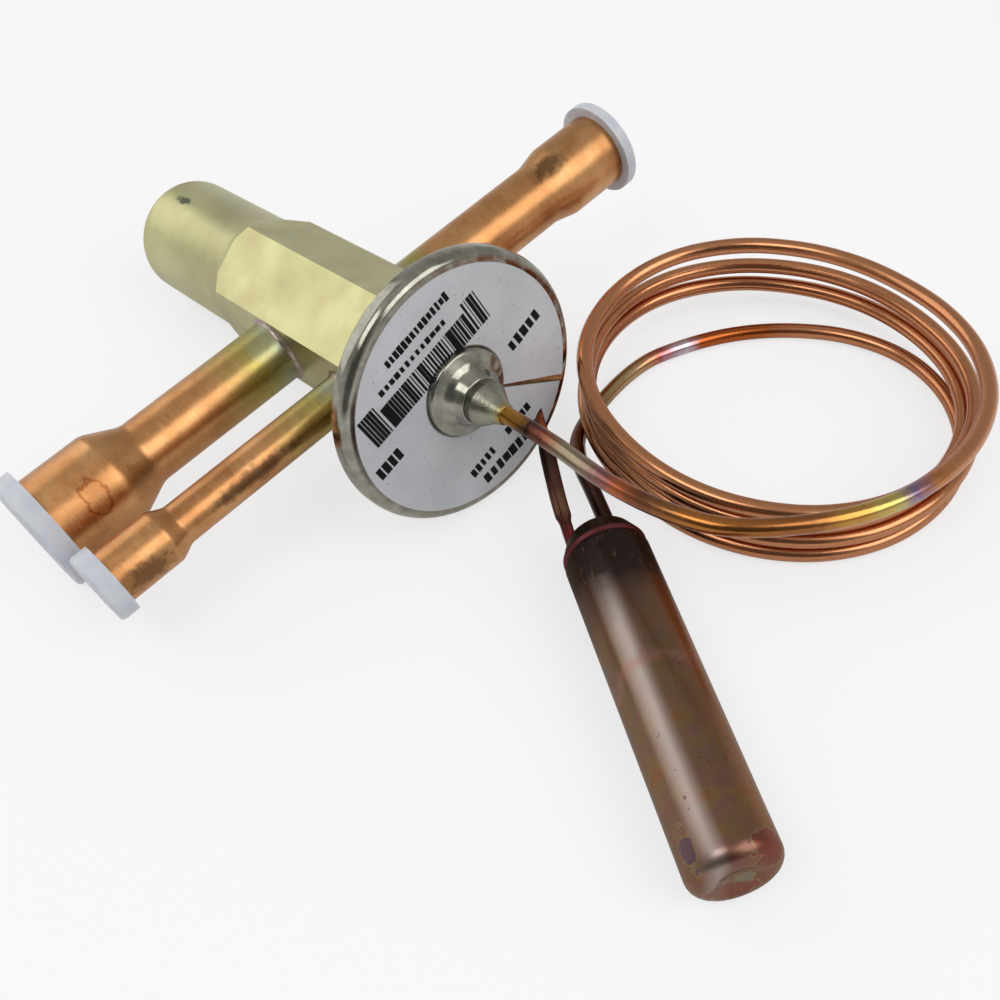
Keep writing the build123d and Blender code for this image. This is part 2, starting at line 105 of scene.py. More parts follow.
# ---------------------------------------------------------------- nodes
MATH, MIX, RAMP = "ShaderNodeMath", "ShaderNodeMix", "ShaderNodeValToRGB"
SPLIT, JOIN, PLACE = "ShaderNodeSeparateXYZ", "ShaderNodeCombineXYZ", "ShaderNodeMapping"
VECTOR_MATH = "ShaderNodeVectorMath"


def linear(text):
    """sRGB hex to linear RGBA."""
    channels = [int(text[i:i + 2], 16) / 255 for i in (1, 3, 5)]
    return tuple(c / 12.92 if c <= 0.04045 else ((c + 0.055) / 1.055) ** 2.4 for c in channels) + (1.0,)


def shade(value):
    """A ramp stop: a hex colour, a linear colour, or one number for a grey mask."""
    if isinstance(value, str):
        return linear(value)
    return (value, value, value, 1.0) if isinstance(value, float) else tuple(value)


def fill(tree, target, value):
    """Gives a socket a value, a hex colour, another socket or the first output of a node. A tuple that
    starts with one of the last two maps its range: (value, from low, from high, to low, to high)."""
    if isinstance(value, tuple) and isinstance(value[0], (bpy.types.Node, bpy.types.NodeSocket)):
        value = add(tree, "ShaderNodeMapRange", value)
    if isinstance(value, bpy.types.Node):
        value = next(output for output in value.outputs if output.enabled)
    if isinstance(value, bpy.types.NodeSocket):
        tree.links.new(value, target)
    else:
        target.default_value = linear(value) if isinstance(value, str) else value


def add(tree, kind, inputs=(), stops=None, **settings):
    """Adds a node with its settings. inputs fills its sockets, by name or in their order; stops fills
    a colour ramp."""
    made = tree.nodes.new(kind)
    for name, value in settings.items():
        setattr(made, name, value)
    if isinstance(inputs, dict):
        pairs = [(made.inputs[name], value) for name, value in inputs.items()]
    else:
        pairs = list(zip([one for one in made.inputs if one.enabled], inputs))
    for target, value in pairs:
        fill(tree, target, value)
    if stops:
        ramp = made.color_ramp
        while len(ramp.elements) > 1:
            ramp.elements.remove(ramp.elements[-1])
        ramp.elements[0].position, ramp.elements[0].color = stops[0][0], shade(stops[0][1])
        for place, colour in stops[1:]:
            ramp.elements.new(place).color = shade(colour)
    return made


def own_coordinates(tree, matrix):
    """Object coordinates turned into a part's own frame, in millimetres."""
    source = add(tree, "ShaderNodeTexCoord").outputs["Object"]
    return add(tree, PLACE, {
        "Vector": source, "Location": matrix.translation, "Rotation": matrix.to_euler("XYZ"),
        "Scale": (MM, MM, MM)}, vector_type="TEXTURE")


def grain(tree, vector, size, detail=3.0, rough=0.5):
    """Grey blotches of a size in millimetres, the same all round or one for each axis."""
    sizes = (size,) * 3 if isinstance(size, float) else size
    placed = add(tree, PLACE, {"Vector": vector, "Scale": [1 / one for one in sizes]})
    return add(tree, "ShaderNodeTexNoise", {
        "Vector": placed, "Scale": 1.0, "Detail": detail, "Roughness": rough})


def shell(tree, vector, centre, size):
    """Distance from a centre as a share of an ellipsoid's size, so 1 on its skin."""
    placed = add(tree, PLACE, {"Vector": vector, "Location": centre, "Scale": size}, vector_type="TEXTURE")
    return add(tree, VECTOR_MATH, (placed,), operation="LENGTH")


def ragged(tree, value, blotches, reach):
    """A value that wanders up and down by a reach, so that what it edges isn't clean-cut."""
    return add(tree, MATH, (value, (blotches, 0.3, 0.7, -reach, reach)), operation="ADD")


def wherever(tree, *masks):
    """A mask that is white only where each of some masks is."""
    joined = masks[0]
    for mask in masks[1:]:
        joined = add(tree, MATH, (joined, mask), operation="MULTIPLY")
    return joined


def band(tree, value, start, full, fade, end, most=1.0):
    """A mask that rises between start and full and falls away between fade and end."""
    return wherever(tree, (value, start, full), (value, end, fade, 0.0, most))


def layered(tree, base, *layers):
    """A base colour with tones laid over it in turn, each through its mask."""
    for mask, tone in layers:
        base = add(tree, MIX, (mask, base, tone), data_type="RGBA")
    return base


def new_material(name, matrix=VALVE):
    """An empty material, its tree and the coordinates of the part's frame that its patterns read."""
    made = bpy.data.materials.new(name)
    made.use_nodes = True
    made.node_tree.nodes.clear()
    return made, made.node_tree, own_coordinates(made.node_tree, matrix)


def finished(made, colour, roughness, metallic, height, strength, depth, **more):
    """Ends a material with its surface. height is its bump, of a depth in millimetres."""
    tree = made.node_tree
    bump = add(tree, "ShaderNodeBump", {"Height": height, "Strength": strength, "Distance": depth * MM})
    surface = add(tree, "ShaderNodeBsdfPrincipled", {
        "Base Color": colour, "Roughness": roughness, "Metallic": metallic, "Normal": bump,
        **{name.replace("_", " "): value for name, value in more.items()}})
    add(tree, "ShaderNodeOutputMaterial", (surface,))
    return made


# ---------------------------------------------------------------- materials

def drawn_brass(dark, middle, light):
    """Free-cutting brass: drawn flats with long scratches, the tail turned with rings round it.
    Real ones are finer; both are drawn as wide as they need to show."""
    made, tree, place = new_material("drawn_brass")
    along = add(tree, SPLIT, (place,)).outputs["Y"]
    pink = (grain(tree, place, 7.143), 0.52, 0.68, 0.0, 0.35)
    scratches = grain(tree, place, (0.25, 14.286, 0.25), 4.0, 0.7)
    rings = grain(tree, place, (10.0, 1 / 6, 10.0), 3.0, 0.7)
    marks = add(tree, MIX, ((along, 56.5, 58.0), scratches, rings))
    clean = (marks, 0.5, 0.75, 0.0, 0.3)
    end_tint = (along, 88.0, 90.0, 0.0, 0.6)
    knock = shell(tree, place, (-0.4, 81.5, 11.6), (1.1, 3.2, 2.0))
    knock = ragged(tree, knock, grain(tree, place, 1.111, 4.0), 0.35)
    knock = (knock, 1.0, 0.5, 0.0, 0.9)
    clouds = grain(tree, place, 12.5, 4.0, 0.55)
    colour = add(tree, RAMP, (clouds,), [(0.32, dark), (0.5, middle), (0.66, light)])
    colour = layered(tree, colour, (pink, "#B9A37C"), (clean, "#D8D4A6"), (end_tint, "#B98A66"),
                     (knock, "#3F4436"))
    return finished(made, colour, (marks, 0.3, 0.7, 0.3, 0.42), 1.0, marks, 0.12, 0.04)


def pressed_steel():
    """Nickel-plated pressing, polished by the tool, with faint rings and a few tea-brown stains."""
    made, tree, place = new_material("pressed_steel")
    across, along, up = add(tree, SPLIT, (place,)).outputs
    reach = add(tree, VECTOR_MATH, (add(tree, JOIN, (across, 0.0, up)),), operation="LENGTH")
    clouds = grain(tree, place, 2.857, 4.0, 0.65)
    stain = wherever(tree, band(tree, reach, 21.4, 22.0, 22.5, 23.3), (across, -4.0, 12.0, 0.15, 1.0),
                     (grain(tree, place, 2.222), 0.38, 0.56))
    skirt = (along, 0.6, 2.2, 0.0, 0.5)
    colour = add(tree, RAMP, (clouds,), [(0.3, "#807E72"), (0.5, "#98968A"), (0.7, "#ABAAA0")])
    colour = layered(tree, colour, (stain, "#6E4A36"), (skirt, "#A98A6A"))
    rings = grain(tree, add(tree, JOIN, (reach,)), 0.25, 3.0, 0.7)
    return finished(made, colour, (clouds, 0.3, 0.7, 0.13, 0.22), 1.0, rings, 0.06, 0.04)


def brazed_nose():
    """Steel boss dulled by the torch, going from grey-yellow to a bright gold braze at its tip."""
    made, tree, place = new_material("brazed_nose")
    along = add(tree, SPLIT, (place,)).outputs["Y"]
    rough = grain(tree, place, 0.769, 5.0, 0.7)
    from_tip = (ragged(tree, along, rough, 0.5), -13.4, -6.4)
    colour = add(tree, RAMP, (from_tip,), [
        (0.0, "#A8742E"), (0.1, "#A5976A"), (0.22, "#9C9A84"), (0.6, "#8E8C7E"), (1.0, "#6E6C62")])
    return finished(made, colour, (rough, 0.3, 0.7, 0.22, 0.36), 1.0, rough, 0.4, 0.15)


def drawn_copper(name, tint_end, smokes=(), ring=None):
    """Half-hard copper tube: grey-green and straw heat tint by the braze, fine rings from polishing.
    smokes are sooty patches and ring is the edge of a dried drop, each a centre and a size."""
    made, tree, place = new_material(name)
    across = add(tree, SPLIT, (place,)).outputs["X"]
    reach = add(tree, MATH, (across,), operation="ABSOLUTE")
    clouds = grain(tree, place, 7.692)
    reach = ragged(tree, reach, clouds, 2.5)
    base = add(tree, RAMP, (clouds,), [(0.3, "#B0784A"), (0.5, "#C48D5A"), (0.7, "#D4A06C")])
    tint = add(tree, RAMP, ((reach, 11.5, tint_end),), [
        (0.0, "#A9AC9C"), (0.16, "#A8A880"), (0.34, "#AFA258"), (0.62, "#B8985C"), (1.0, "#C48D5A")])
    rings = grain(tree, place, (0.2778, 2.857, 2.857), 3.0, 0.75)
    fine = grain(tree, place, 1.429, 5.0, 0.65)
    layers = [((reach, tint_end, tint_end - 6.0), tint),
              ((rings, 0.54, 0.7, 0.0, 0.3), "#E2B98E"),
              ((fine, 0.52, 0.7, 0.0, 0.25), "#8C5A3E")]
    for centre, size in smokes:
        veil = ragged(tree, shell(tree, place, centre, size), fine, 0.35)
        layers.append(((veil, 1.05, 0.45, 0.0, 0.72), "#4A3222"))
    if ring:
        drop = ragged(tree, shell(tree, place, *ring), grain(tree, place, 1.818, 2.0), 0.22)
        layers.append((band(tree, drop, 0.8, 0.95, 0.97, 1.12, 0.8), "#8E4A1C"))
    return finished(made, layered(tree, base, *layers), (rings, 0.3, 0.7, 0.27, 0.38), 1.0, rings, 0.1, 0.04)


def silver_braze():
    """Silver alloy fillet: pinkish grey, slightly rippled where it froze."""
    made, tree, place = new_material("silver_braze")
    ripple = grain(tree, place, 0.8333)
    colour = add(tree, RAMP, (ripple,), [(0.3, "#8E7D74"), (0.6, "#B7A69C")])
    return finished(made, colour, 0.38, 1.0, ripple, 0.35, 0.2)


def milky_polythene(colour):
    """Low-density polyethylene moulding: waxy, milky, a little light passes into it."""
    made, tree, place = new_material("milky_polythene")
    haze = grain(tree, place, 3.333)
    tone = layered(tree, colour, ((haze, 0.35, 0.65), "#D4D6DC"))
    return finished(made, tone, (haze, 0.3, 0.7, 0.38, 0.5), 0.0, grain(tree, place, 0.6667), 0.05, 0.1,
                    Subsurface_Weight=0.35, Subsurface_Radius=(0.8, 0.8, 1.0), Subsurface_Scale=1.5 * MM)


def label_foil(colour):
    """Satin silver-grey label stock with a soft, slightly uneven sheen and a few specks of dirt."""
    made, tree, place = new_material("label_foil")
    haze = (grain(tree, place, 11.11), 0.35, 0.65)
    specks = (grain(tree, place, 0.4545, 1.0), 0.735, 0.75, 0.0, 0.6)
    tone = layered(tree, colour, (haze, "#CFCFD4"), (specks, "#3A3A40"))
    return finished(made, tone, 0.42, 0.1, grain(tree, place, 2.0), 0.05, 0.2)


def plain_finish(name, dark, light, roughness, metallic, size=1.25, strength=0.08, **more):
    """A machined, moulded or printed finish of two close tones, in blotches of a size."""
    made, tree, place = new_material(name)
    blotches = grain(tree, place, size)
    colour = add(tree, RAMP, (blotches,), [(0.3, dark), (0.7, light)])
    return finished(made, colour, roughness, metallic, blotches, strength, 0.1, **more)


def tinted_capillary(name, matrix, stops, total):
    """Soft copper capillary: torch colours near its brazed ends, pinkish copper between them, and on the charge
    stub a painted highlight near its tip.
    The piece's own attribute 'run' is the distance along it, and stops and total are distances too."""
    made, tree, place = new_material(name, matrix)
    run = add(tree, "ShaderNodeAttribute", attribute_name="run").outputs["Fac"]
    patches = grain(tree, place, 3.03, 4.0, 0.65)
    fine = grain(tree, place, 0.625, 4.0, 0.7)
    colour = add(tree, RAMP, ((ragged(tree, run, patches, 1.6), 0.0, total),), [
        (distance / total, tone) for distance, tone in stops])
    speckles = (fine, 0.52, 0.72, 0.0, 0.22)
    colour = add(tree, MIX, (speckles, colour, "#7A4B38"), data_type="RGBA", blend_type="MULTIPLY")
    return finished(made, colour, (patches, 0.3, 0.7, 0.15, 0.25), 1.0, fine, 0.05, 0.04)


def torched_bulb():
    """Copper bulb oxidised by the torch: soot black by the neck, then purple, olive and brown films."""
    made, tree, place = new_material("torched_bulb", BULB)
    side, along, _ = add(tree, SPLIT, (place,)).outputs
    wide = grain(tree, place, 11.11, 4.0, 0.55)
    fine = grain(tree, place, 0.8333, 5.0, 0.7)
    from_end = ragged(tree, along, wide, 4.0)
    zones = add(tree, RAMP, ((from_end, 0.0, 66.0),), [
        (0.0, "#7A4632"), (0.08, "#84583E"), (0.3, "#7E5C3E"), (0.5, "#775D40"), (0.64, "#6C5040"),
        (0.72, "#563F36"), (0.8, "#342827"), (0.9, "#292120"), (1.0, "#322421")])
    film = add(tree, RAMP, (grain(tree, place, 6.25, 5.0, 0.62),), [
        (0.3, "#8A5830"), (0.42, "#6E623E"), (0.5, "#7C5450"), (0.58, "#7E6840"), (0.7, "#8A502A")])
    filmed = wherever(tree, (along, 50.0, 38.0, 0.05, 0.65), (wide, 0.3, 0.6, 0.5, 1.0))
    # pale is a painted highlight: a pale grey strip down the left of the bulb's side, where the lamp's highlight
    # falls, strongest towards the closed end.
    pale = wherever(tree, band(tree, side, -5.6, -3.4, -3.0, -1.2), (from_end, 54.0, 42.0, 0.0, 0.6))
    amber = wherever(tree, (side, 2.0, 5.6), (from_end, 52.0, 46.0), (from_end, 20.0, 38.0, 0.35, 0.8))
    layers = [(filmed, film), (pale, "#B4AAA6"), (amber, "#8F5222"),
              (band(tree, from_end, 31.0, 33.0, 33.0, 35.0, 0.6), "#9C6A62")]
    # Bare red oxide with a straw border: one patch on the left shoulder, the others on the closed end.
    blotches = grain(tree, place, 2.0)
    for centre, size, inside in (
        ((-5.8, 4.8, 4.0), (1.1, 2.8, 2.0), "#5B4654"), ((4.4, 1.5, 4.4), (3.2, 2.4, 3.4), "#7A3A30"),
        ((-1.6, 0.2, -2.4), (4.2, 2.0, 3.2), "#7E4438"), ((0.8, 0.4, -0.6), (1.7, 2.0, 1.3), "#83806A"),
    ):
        patch = ragged(tree, shell(tree, place, centre, size), blotches, 0.5)
        layers += [((patch, 1.0, 0.9, 0.0, 0.75), inside),
                   (band(tree, patch, 0.86, 0.98, 1.08, 1.18, 0.5), "#8E7E54")]
    flecks = grain(tree, place, (0.5556, 2.222, 0.5556), 4.0, 0.65)
    sooty = wherever(tree, (flecks, 0.6, 0.68), (along, 44.0, 54.0, 0.0, 0.5))
    specks = (grain(tree, place, 1.111, 2.0), 0.71, 0.74, 0.0, 0.7)
    seam = band(tree, along, 59.5, 60.0, 60.4, 60.9, 0.7)
    layers += [(seam, "#7C3A3E"), (sooty, "#8A6252"), (specks, "#3A2C3A")]
    roughness = add(tree, MATH, ((fine, 0.3, 0.7, 0.3, 0.4), (along, 40.0, 54.0, 0.0, 0.12)), operation="ADD")
    # The oxide film is glossier than the metal under it, and thins out where the soot lies.
    return finished(made, layered(tree, zones, *layers), roughness, 1.0, fine, 0.05, 0.05,
                    Coat_Weight=(from_end, 54.0, 40.0, 0.12, 0.4), Coat_Roughness=0.2, Specular_Tint="#CBBCAE")


# ---------------------------------------------------------------- meshes

def link(obj):
    bpy.context.scene.collection.objects.link(obj)
    return obj


def soften(mesh, degrees=28.0):
    """Smooth shading with the edges sharper than an angle kept."""
    mesh.shade_smooth()
    mesh.set_sharp_from_angle(angle=math.radians(degrees))


def make_piece(name, vertices, faces, material, body, replaces=(), degrees=28.0, recalculate=True):
    """A mesh piece with its place in its vertices, which are metres in the row's frame. recalculate
    merges doubles and turns the faces outwards."""
    mesh = bpy.data.meshes.new(name)
    mesh.from_pydata([tuple(v) for v in vertices], [], [tuple(f) for f in faces])
    if recalculate:
        work = bmesh.new()
        work.from_mesh(mesh)
        bmesh.ops.remove_doubles(work, verts=work.verts, dist=1e-7)
        bmesh.ops.recalc_face_normals(work, faces=work.faces)
        work.to_mesh(mesh)
        work.free()
    soften(mesh, degrees)
    mesh.materials.append(material)
    piece = link(bpy.data.objects.new(name, mesh))
    return settle(piece, body, replaces)


def settle(piece, body, replaces=()):
    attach(piece, body)
    if replaces:
        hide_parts(*replaces)
    return piece


def smooth_copy(name, node, material, body, shape=None):
    """A merged copy of a CAD node, shaded smooth between its real edges.
    shape moves each of its points, given in the valve's frame in millimetres."""
    mesh = frame["nodes"][node].data.copy()
    work = bmesh.new()
    work.from_mesh(mesh)
    bmesh.ops.remove_doubles(work, verts=work.verts, dist=2e-7)
    if shape:
        back = VALVE.inverted()
        for vertex in work.verts:
            vertex.co = VALVE @ (shape(back @ vertex.co / MM) * MM)
    work.to_mesh(mesh)
    work.free()
    mesh.name = name
    if "custom_normal" in mesh.attributes:
        mesh.attributes.remove(mesh.attributes["custom_normal"])
    soften(mesh)
    mesh.materials.clear()
    mesh.materials.append(material)
    for polygon in mesh.polygons:
        polygon.material_index = 0
    piece = link(bpy.data.objects.new(name, mesh))
    return settle(piece, body, [node])


def round_corners(points, radii, steps=6):
    """A 2D outline with chosen corners rounded; radii maps a corner's number to its radius."""
    made = []
    count = len(points)
    for index, point in enumerate(points):
        corner = Vector(point)
        if index not in radii:
            made.append(tuple(corner))
            continue
        before, after = Vector(points[index - 1]), Vector(points[(index + 1) % count])
        one, two = (before - corner).normalized(), (after - corner).normalized()
        half = one.angle(two) / 2
        cut = radii[index] / math.tan(half)
        centre = corner + (one + two).normalized() * (radii[index] / math.sin(half))
        first, last = corner + one * cut - centre, corner + two * cut - centre
        swing = first.angle_signed(last)
        for step in range(steps + 1):
            angle = -swing * step / steps
            made.append(tuple(centre + Matrix.Rotation(angle, 2) @ first))
    return made


def revolved(outline, matrix, around=96, closed=True, shape=None):
    """Turns an outline of (radius, along) about local +Y. shape moves each point, for dents and ripples.
    closed joins the last ring to the first; an open outline starts and ends on the axis."""
    vertices, rings = [], []
    for radius, along in outline:
        if radius < 1e-6:
            rings.append([len(vertices)] * around)
            vertices.append(Vector((0, along, 0)))
            continue
        rings.append(list(range(len(vertices), len(vertices) + around)))
        for step in range(around):
            angle = 2 * math.pi * step / around
            vertices.append(Vector((radius * math.cos(angle), along, radius * math.sin(angle))))
    if shape:
        vertices = [shape(v) for v in vertices]
    faces = []
    count = len(rings)
    for row in range(count if closed else count - 1):
        here, there = rings[row], rings[(row + 1) % count]
        for step in range(around):
            corners = [here[step], here[(step + 1) % around], there[(step + 1) % around], there[step]]
            corners = list(dict.fromkeys(corners))
            if len(corners) > 2:
                faces.append(corners)
    return [matrix @ (v * MM) for v in vertices], faces


def smooth_line(points, resolution=10):
    """Points along the NURBS spline of a route, as Blender evaluates it."""
    curve = bpy.data.curves.new("route", "CURVE")
    curve.dimensions = "3D"
    curve.resolution_u = resolution
    spline = curve.splines.new("NURBS")
    spline.points.add(len(points) - 1)
    for target, point in zip(spline.points, points):
        target.co = (*[c * MM for c in point], 1.0)
    spline.order_u = 3
    spline.use_endpoint_u = True
    holder = link(bpy.data.objects.new("route", curve))
    mesh = bpy.data.meshes.new_from_object(holder)
    line = [v.co.copy() for v in mesh.vertices]
    bpy.data.objects.remove(holder)
    bpy.data.curves.remove(curve)
    bpy.data.meshes.remove(mesh)
    return line


def tube_along(line, section, sides=20):
    """Vertices, faces, distances and length of a capped tube on a line in metres. section(distance,
    share, angle) gives its wall's offsets (across, up, ahead). Distances and length are millimetres."""
    distances = [0.0]
    for before, after in zip(line, line[1:]):
        distances.append(distances[-1] + (after - before).length)
    length = distances[-1] / MM
    up = Vector((0, 0, 1))
    vertices, runs, faces = [], [], []
    for index, point in enumerate(line):
        ahead = line[min(index + 1, len(line) - 1)] - line[max(index - 1, 0)]
        ahead.normalize()
        up = (up - ahead * up.dot(ahead)).normalized()
        across = ahead.cross(up)
        for side in range(sides):
            angle = 2 * math.pi * side / sides
            wide, high, shift = section(distances[index] / MM, distances[index] / distances[-1], angle)
            vertices.append(point + MM * (across * wide + up * high + ahead * shift))
            runs.append(distances[index] / MM)
        if index:
            row = (index - 1) * sides
            for side in range(sides):
                nxt = (side + 1) % sides
                faces.append((row + side, row + nxt, row + sides + nxt, row + sides + side))
    last = (len(line) - 1) * sides
    faces.append(tuple(range(sides))[::-1])
    faces.append(tuple(range(last, last + sides)))
    return vertices, faces, runs, length


def store_run(piece, runs):
    """Keeps the distance along a tube on its vertices, in millimetres, for its material."""
    attribute = piece.data.attributes.new("run", "FLOAT", "POINT")
    attribute.data.foreach_set("value", runs)


# ---------------------------------------------------------------- Geometry Nodes

def open_tree(name, **sizes):
    """A tree with named inputs, whole or decimal as their defaults are; also its sockets' identifiers."""
    tree = bpy.data.node_groups.new(name, "GeometryNodeTree")
    tree.interface.new_socket("Geometry", in_out="OUTPUT", socket_type="NodeSocketGeometry")
    identifiers = {}
    for label, value in sizes.items():
        kind = "NodeSocketInt" if isinstance(value, int) else "NodeSocketFloat"
        socket = tree.interface.new_socket(label, in_out="INPUT", socket_type=kind)
        socket.default_value = value
        identifiers[label] = socket.identifier
    return tree, identifiers, add(tree, "NodeGroupInput").outputs


def close_tree(tree, geometry, material):
    """Makes the instances real, sets the material and ends the tree."""
    solid = add(tree, "GeometryNodeRealizeInstances", {"Geometry": geometry})
    shown = add(tree, "GeometryNodeSetMaterial", {"Geometry": solid, "Material": material})
    add(tree, "NodeGroupOutput", {"Geometry": shown})


def bars_tree(material):
    """A row of upright bars of uneven width and height, in metres; the widths are shares of the pitch."""
    tree, identifiers, given = open_tree(
        "printed_bars", Length=0.02, Height=0.006, Count=40, Thin=0.2, Wide=0.9, Ragged=0.0, Seed=1)
    film = 0.02 * MM
    pitch = add(tree, MATH, (given["Length"], given["Count"]), operation="DIVIDE")
    step = add(tree, JOIN, (pitch,))
    points = add(tree, "GeometryNodeMeshLine", {"Count": given["Count"], "Offset": step})
    block = add(tree, "GeometryNodeMeshCube", {"Size": (1, 1, film)})
    width = add(tree, "FunctionNodeRandomValue", {
        2: given["Thin"], 3: given["Wide"], "Seed": given["Seed"]}, data_type="FLOAT")
    shortest = add(tree, MATH, (1.0, given["Ragged"]), operation="SUBTRACT")
    other_seed = add(tree, MATH, (given["Seed"], 7.0), operation="ADD")
    height = add(tree, "FunctionNodeRandomValue", {
        2: shortest, 3: 1.0, "Seed": other_seed}, data_type="FLOAT")
    size = add(tree, JOIN, (wherever(tree, width, pitch), wherever(tree, given["Height"], height), 1.0))
    bars = add(tree, "GeometryNodeInstanceOnPoints", {"Points": points, "Instance": block, "Scale": size})
    close_tree(tree, bars, material)
    return tree, identifiers


def spring_tree(material):
    """A compression spring along +Z, in metres."""
    tree, identifiers, given = open_tree("wound_spring", Length=0.015, Turns=6.5, Radius=0.0046, Wire=0.0007)
    coil = add(tree, "GeometryNodeCurveSpiral", {
        "Resolution": 48, "Rotations": given["Turns"], "Start Radius": given["Radius"],
        "End Radius": given["Radius"], "Height": given["Length"]})
    wire = add(tree, "GeometryNodeCurvePrimitiveCircle", {"Resolution": 14, "Radius": given["Wire"]})
    tube = add(tree, "GeometryNodeCurveToMesh", {"Curve": coil, "Profile Curve": wire, "Fill Caps": True})
    close_tree(tree, tube, material)
    return tree, identifiers


def grown(tree, identifiers, **values):
    """The plain mesh that a Geometry Nodes tree gives for some inputs."""
    holder = link(bpy.data.objects.new("holder", bpy.data.meshes.new("holder")))
    modifier = holder.modifiers.new("nodes", "NODES")
    modifier.node_group = tree
    for name, value in values.items():
        modifier[identifiers[name]] = value
    holder.update_tag()
    evaluated = holder.evaluated_get(bpy.context.evaluated_depsgraph_get())
    mesh = bpy.data.meshes.new_from_object(evaluated)
    bpy.data.objects.remove(holder)
    return mesh


# ---------------------------------------------------------------- sizes and colours a user may change

class ValveSizes(bpy.types.PropertyGroup):
    braze_leg: bpy.props.FloatProperty(
        name="Braze leg", description="Height of the braze fillet on the tube",
        default=0.00075, unit="LENGTH")
    capillary: bpy.props.FloatProperty(
        name="Capillary", description="Outside diameter of the capillary", default=0.0029, unit="LENGTH")
    coil_steps: bpy.props.IntProperty(
        name="Coil steps", description="Route points in one turn of the coil", default=16, min=12)
    bar_count: bpy.props.IntProperty(
        name="Bars", description="Bars in the middle of the band printed on the label", default=32, min=8)
    brass_dark: bpy.props.FloatVectorProperty(
        name="Brass, dark", description="Dull parts of the brass",
        size=4, subtype="COLOR", default=linear("#B0AC7C"))
    brass: bpy.props.FloatVectorProperty(
        name="Brass", description="Main colour of the brass",
        size=4, subtype="COLOR", default=linear("#BDB986"))
    brass_light: bpy.props.FloatVectorProperty(
        name="Brass, light", description="Clean parts of the brass",
        size=4, subtype="COLOR", default=linear("#C8C592"))
    label: bpy.props.FloatVectorProperty(
        name="Label", description="Colour of the label stock",
        size=4, subtype="COLOR", default=linear("#C2C5C9"))
    caps: bpy.props.FloatVectorProperty(
        name="Caps", description="Colour of the milky caps",
        size=4, subtype="COLOR", default=linear("#C6C9D2"))


# ---------------------------------------------------------------- operators

class VALVE_OT_body(bpy.types.Operator):
    """Brass body and the pieces sealed inside it"""
    bl_idname = "valve.body"
    bl_label = "Brass body"

    def execute(self, context):
        sizes = context.scene.valve_sizes
        brass = drawn_brass(sizes.brass_dark, sizes.brass, sizes.brass_light)

        def late_chamfer(point):
            """The chamfer at the end of the hexagon starts later than the solid's."""
            later, corner_from = 3.6, 11.5
            on_chamfer = 50 < point.y < 58 and math.hypot(point.x, point.z) > corner_from
            return point + Vector((0, later * on_chamfer, 0))

        smooth_copy("brass_body", "valve_body", brass, "valve", late_chamfer)
        steel = plain_finish("ground_steel", "#9A9A9C", "#C4C4C6", 0.24, 1.0)
        bronze = plain_finish("machined_brass", "#B09A5C", "#CDB878", 0.3, 1.0)
        wire = plain_finish("spring_wire", "#77797C", "#9DA0A4", 0.28, 1.0)
        nitrile = plain_finish("nitrile_rubber", "#121213", "#1E1E20", 0.55, 0.0)
        gauze = plain_finish("woven_gauze", "#5E5E5A", "#B9B9B2", 0.4, 1.0, 0.4, 0.6)
        for name, node, material, body, slot in (
            ("thrust_disc", "thrust_plate", steel, "valve_stem", "inner_steel"),
            ("stem_rod", "push_rod", steel, "valve_stem", "inner_steel"),
            ("stem_cone", "valve_cone", steel, "valve_stem", "inner_steel"),
            ("spring_seat", "cone_carrier", bronze, "valve_stem", "inner_brass"),
            ("rod_bush", "guide_bush", bronze, "valve", "inner_brass"),
            ("rod_seal", "rod_o_ring", nitrile, "valve", "seal_rubber"),
            ("orifice_ring", "orifice_seat", steel, "valve", "inner_steel"),
            ("corrugated_disc", "diaphragm", steel, "valve", "inner_steel"),
            ("spring_screw", "setting_screw", bronze, "valve", "inner_brass"),
            ("tail_screw", "tail_plug", bronze, "valve", "inner_brass"),
            ("strainer_thimble", "inlet_strainer", gauze, "valve", "gauze"),
        ):
            smooth_copy(name, node, material, body)

        # The spring's middle line runs from start to end; half a wire more lies beyond each.
        start, end, turns, reach, half_wire = 50.25, 65.25, 6.5, 4.6, 0.7
        tree, identifiers = spring_tree(wire)
        mesh = grown(tree, identifiers, Length=(end - start) * MM, Turns=turns, Radius=reach * MM,
                     Wire=half_wire * MM)
        mesh.transform(VALVE @ Matrix.Translation((0, start * MM, 0)) @ Matrix.Rotation(-math.pi / 2, 4, "X"))
        soften(mesh, 40)
        spring = link(bpy.data.objects.new("wound_spring", mesh))
        settle(spring, "valve", ["superheat_spring"])
        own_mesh(spring)
        return {"FINISHED"}


